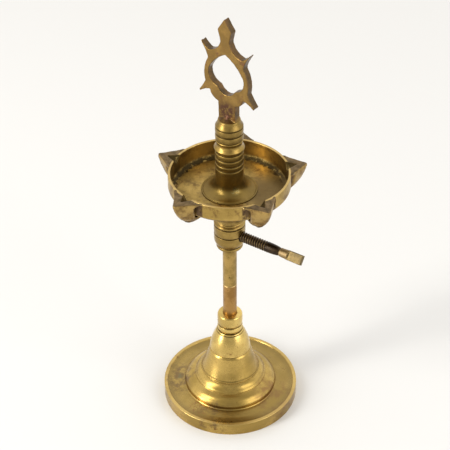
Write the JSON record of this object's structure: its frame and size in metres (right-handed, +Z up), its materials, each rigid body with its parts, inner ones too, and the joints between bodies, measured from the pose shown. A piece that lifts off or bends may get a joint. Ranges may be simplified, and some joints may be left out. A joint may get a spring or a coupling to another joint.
{
  "type": "standing oil lamp",
  "caption": "Brass standing oil lamp: hollow turned foot, slim rod, spouted oil dish that slides and clamps with a side screw, openwork finial.",
  "frame": {"origin": "centre of the foot's underside, on the floor", "axes": "+Z up the rod, +X out along the clamp screw, +Y completes a right-handed frame"},
  "size_m": [0.0904, 0.0828, 0.2531],
  "materials": {
    "foot_brass": "satin, hand polished, lightly stained",
    "rod_copper_tone": "satin, reddish tarnish",
    "rod_brass": "satin, olive tarnish",
    "collar_brass": "satin turned",
    "dish_brass": "aged, matt cast outside and turned inside",
    "hub_brass": "satin turned",
    "dark_screw": "dark oiled thread",
    "key_brass": "filed, dull",
    "finial_brass": "cast, filed flats with brown stains"
  },
  "bodies": {
    "foot": {"foot_plate": "foot_brass", "foot_neck": "foot_brass", "lower_rod": "rod_copper_tone", "upper_rod": "rod_brass"},
    "collar": {"clamp_collar": "collar_brass"},
    "tray": {"oil_dish": "dish_brass", "hub_column": "hub_brass"},
    "screw": {"clamp_screw": "dark_screw"},
    "key": {"screw_key": "key_brass"},
    "finial": {"finial": "finial_brass"}
  },
  "joints": [
    {"name": "collar_slide", "type": "slide", "parent": "foot", "child": "collar", "axis": [0, 0, 1], "range_m": [-0.046, 0]},
    {"name": "tray_turn", "type": "hinge", "parent": "collar", "child": "tray", "pos_m": [0, 0, 0.1294], "axis": [0, 0, 1], "continuous": true},
    {"name": "screw_feed", "type": "slide", "parent": "collar", "child": "screw", "axis": [1, 0, 0], "range_m": [0, 0.006]},
    {"name": "screw_turn", "type": "hinge", "parent": "screw", "child": "key", "pos_m": [0.035, 0, 0.1198], "axis": [1, 0, 0], "range_deg": [0, 1440]},
    {"name": "finial_lift", "type": "slide", "parent": "foot", "child": "finial", "axis": [0, 0, 1], "range_m": [0, 0.02]}
  ],
  "couplings": [
    {"joint": "screw_turn", "follows": "screw_feed", "rad_per_m": 4188.7}
  ]
}
